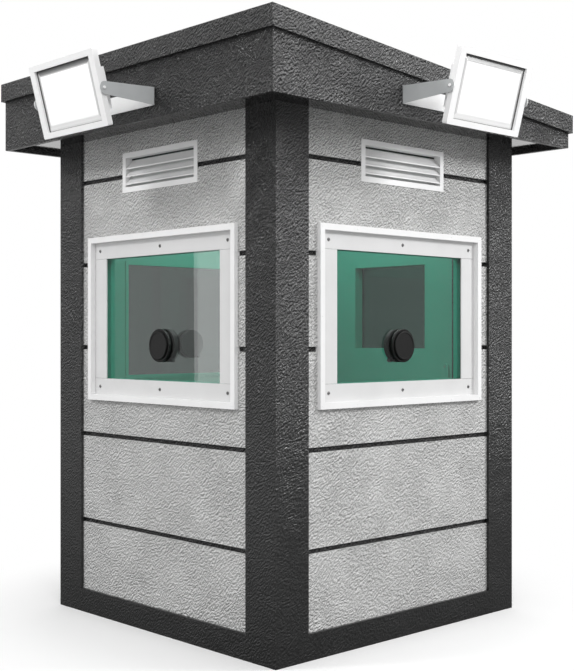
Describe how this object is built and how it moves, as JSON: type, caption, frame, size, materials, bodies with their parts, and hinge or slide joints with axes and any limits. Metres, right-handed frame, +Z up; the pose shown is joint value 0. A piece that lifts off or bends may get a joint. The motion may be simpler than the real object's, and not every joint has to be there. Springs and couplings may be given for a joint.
{
  "type": "security guard booth",
  "caption": "Square walk-in guard booth with clad walls, thick glazed windows with talk-throughs, louvre vents, sloping roof, rear door and tilting floodlights.",
  "frame": {"origin": "middle of the cabin's footprint, on the ground", "axes": "+Z up; the front wall, under the high edge of the roof, faces -Y; the right-hand wall faces +X; the door is in the +Y wall"},
  "size_m": [2.1822, 2.1822, 2.456],
  "materials": {
    "dark_coat": "textured satin",
    "pale_coat": "textured satin",
    "white_paint": "satin",
    "room_green": "satin",
    "green_glass": "gloss",
    "grey_glass": "gloss",
    "black_plastic": "satin",
    "steel": "brushed",
    "lamp_white": "satin powder coat",
    "diffuser": "frosted",
    "floor": "matt sheet"
  },
  "bodies": {
    "booth": {"floor_panel": "floor", "base_rails": "dark_coat", "corner_post_front_left": "dark_coat", "corner_post_front_right": "dark_coat", "corner_post_back_left": "dark_coat", "corner_post_back_right": "dark_coat", "front_wall": "dark_coat", "right_wall": "dark_coat", "left_wall": "dark_coat", "back_wall_sides": "dark_coat", "back_wall_head": "dark_coat", "front_cladding": "pale_coat", "right_cladding": "pale_coat", "left_cladding": "pale_coat", "back_cladding": "pale_coat", "inner_lining": "room_green", "window_trims": "white_paint", "window_plates": "white_paint", "window_beads": "room_green", "front_glass": "green_glass", "right_glass": "green_glass", "left_glass": "grey_glass", "talk_through_units": "black_plastic", "vent_grilles": "white_paint", "soffit": "dark_coat", "front_fascia": "dark_coat", "back_fascia": "dark_coat", "left_fascia": "dark_coat", "right_fascia": "dark_coat", "roof_cap": "dark_coat", "door_frame": "dark_coat", "door_hinges_frame": "steel", "front_light_bracket": "white_paint", "right_light_bracket": "white_paint"},
    "door": {"door_leaf": "dark_coat", "door_cladding": "pale_coat", "door_lining": "room_green", "door_glass": "grey_glass", "door_window_trim": "white_paint", "door_handles": "steel", "door_hinges_leaf": "steel"},
    "front_light": {"front_light_housing": "lamp_white", "front_light_lens": "diffuser"},
    "right_light": {"right_light_housing": "lamp_white", "right_light_lens": "diffuser"}
  },
  "joints": [
    {"name": "door_swing", "type": "hinge", "parent": "booth", "child": "door", "pos_m": [-0.405, 0.759, 1.065], "axis": [0, 0, 1], "range_deg": [0, 100]},
    {"name": "front_light_tilt", "type": "hinge", "parent": "booth", "child": "front_light", "pos_m": [0, -1.181, 2.22804], "axis": [1, 0, 0], "range_deg": [-60, 60]},
    {"name": "right_light_tilt", "type": "hinge", "parent": "booth", "child": "right_light", "pos_m": [1.181, 0, 2.22804], "axis": [0, 1, 0], "range_deg": [-60, 60]}
  ]
}
